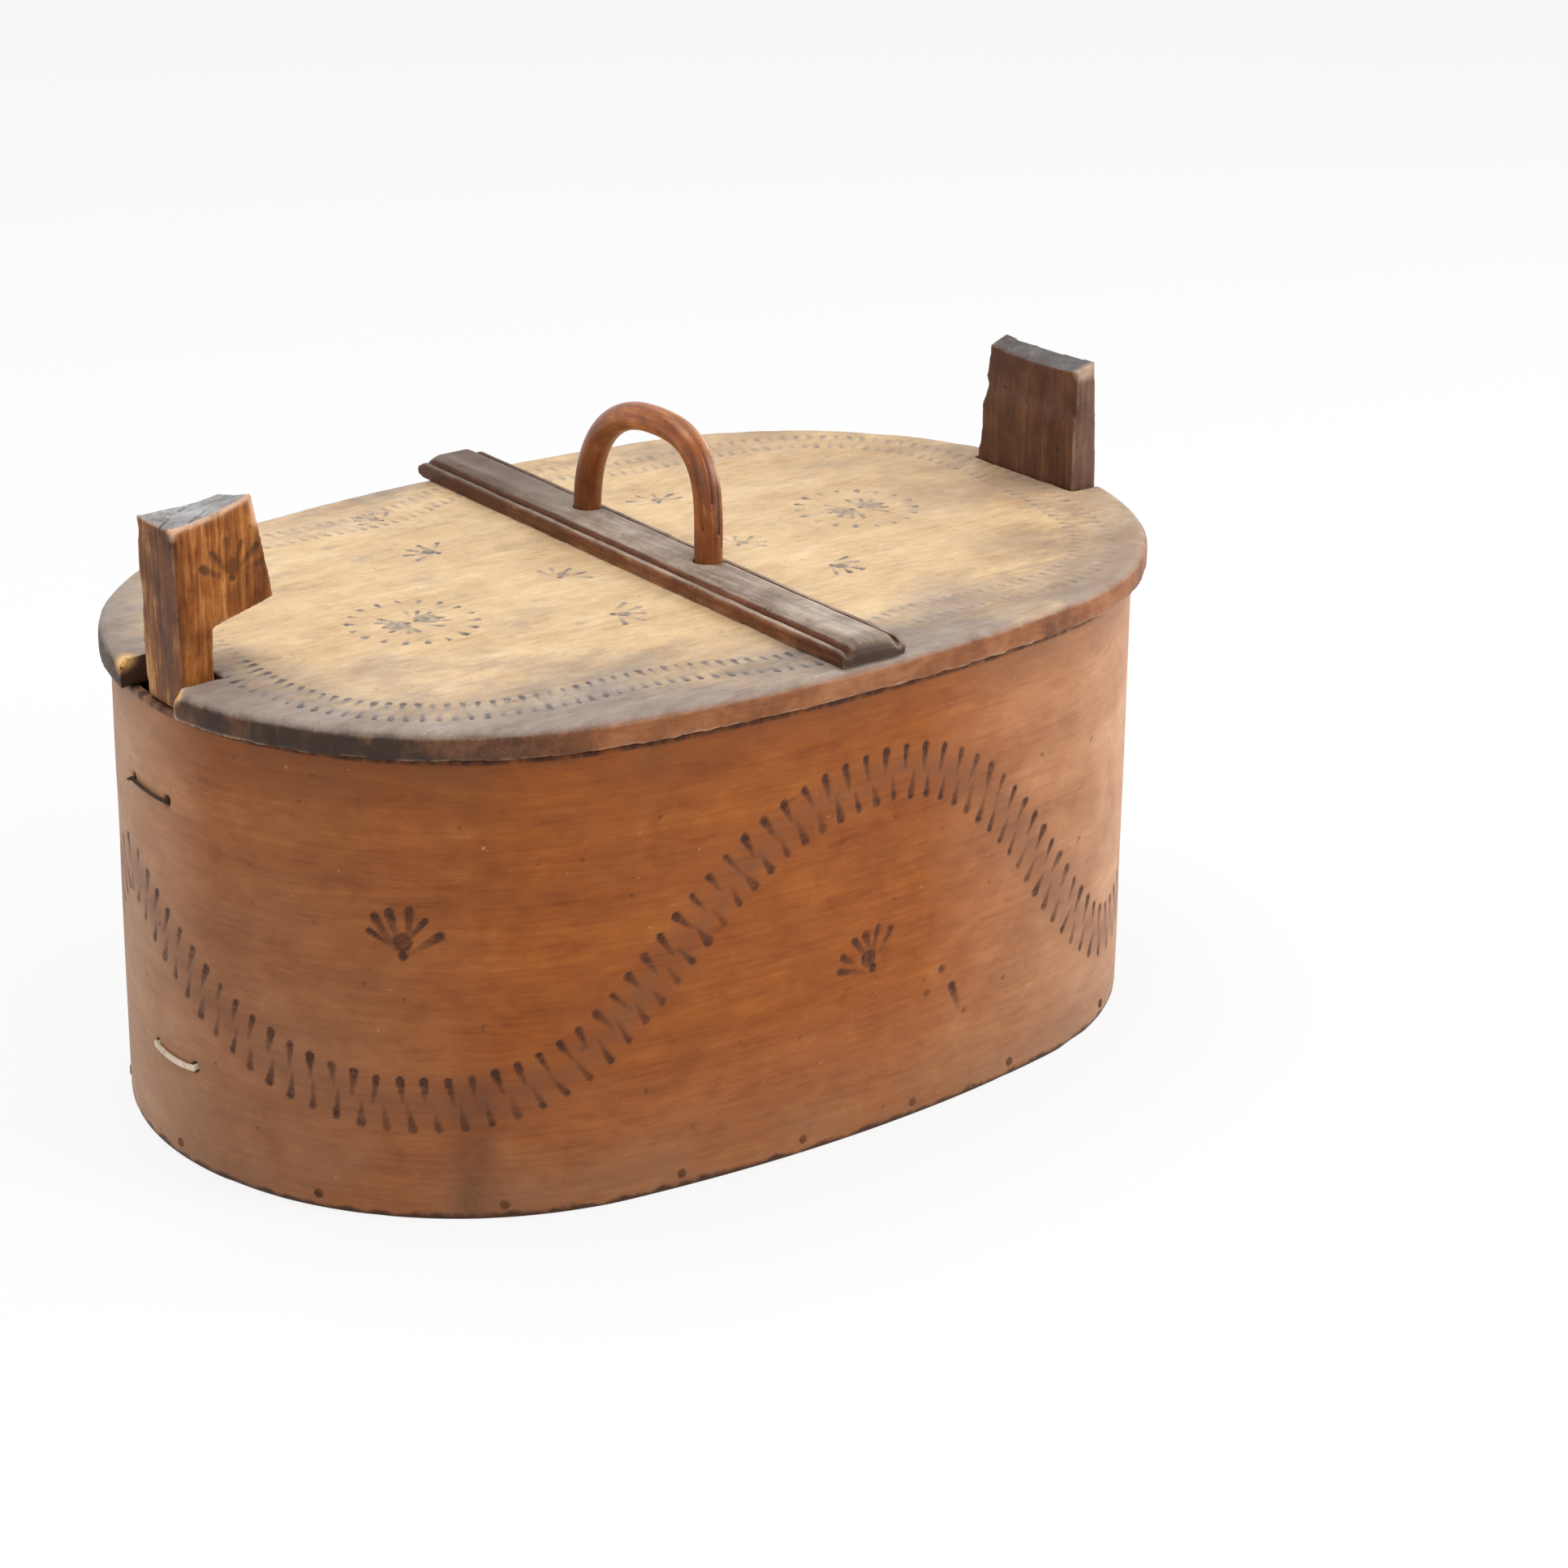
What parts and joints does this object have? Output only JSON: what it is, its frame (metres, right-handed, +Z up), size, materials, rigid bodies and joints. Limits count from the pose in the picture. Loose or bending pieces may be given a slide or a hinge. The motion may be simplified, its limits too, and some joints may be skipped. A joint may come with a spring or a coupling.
{
  "type": "norwegian tine box",
  "caption": "Oval bentwood box with a lapped and laced wall. Its flat lid has a bow handle and is held between a hooked keeper post and a springing snap post.",
  "frame": {"origin": "centre of the underside", "axes": "+X runs along the box towards the snap post, the keeper post is at -X, +Y is the side with the lap seam, +Z is up"},
  "size_m": [0.4558, 0.3065, 0.269],
  "materials": {
    "wood_wall": "honey-brown bent band, worn and darkened, semi-gloss",
    "wood_lid": "pale golden board, greyed towards its rim, satin",
    "wood_batten": "dark stained, worn on its beads",
    "wood_keeper": "orange-brown, weathered end grain",
    "wood_snap": "dark brown, worn edges",
    "wood_bow": "reddish brown, polished by hands",
    "wood_pale": "bare pale softwood, matt",
    "root_pale": "split root, dry and matt",
    "root_dark": "split root, darkened with age"
  },
  "bodies": {
    "box": {"wall_band": "wood_wall", "bottom_board": "wood_pale", "bottom_pegs": "wood_pale", "lap_lacing": "root_pale", "keeper_post": "wood_keeper", "keeper_stitch_upper": "root_dark", "keeper_stitch_lower": "root_pale", "snap_stitch": "root_pale"},
    "lid": {"lid_board": "wood_lid", "lid_batten": "wood_batten", "batten_pegs": "wood_pale", "handle_bow": "wood_bow", "handle_wedges": "wood_pale"},
    "snap": {"snap_post": "wood_snap"}
  },
  "joints": [
    {"name": "lid_tilt", "type": "hinge", "parent": "box", "child": "lid", "pos_m": [-0.224, 0, 0.188], "axis": [0, -1, 0], "range_deg": [0, 9]},
    {"name": "snap_flex", "type": "hinge", "parent": "box", "child": "snap", "pos_m": [0.2145, 0, 0.043], "axis": [0, 1, 0], "range_deg": [0, 1], "stiffness_Nm_per_rad": 60}
  ]
}
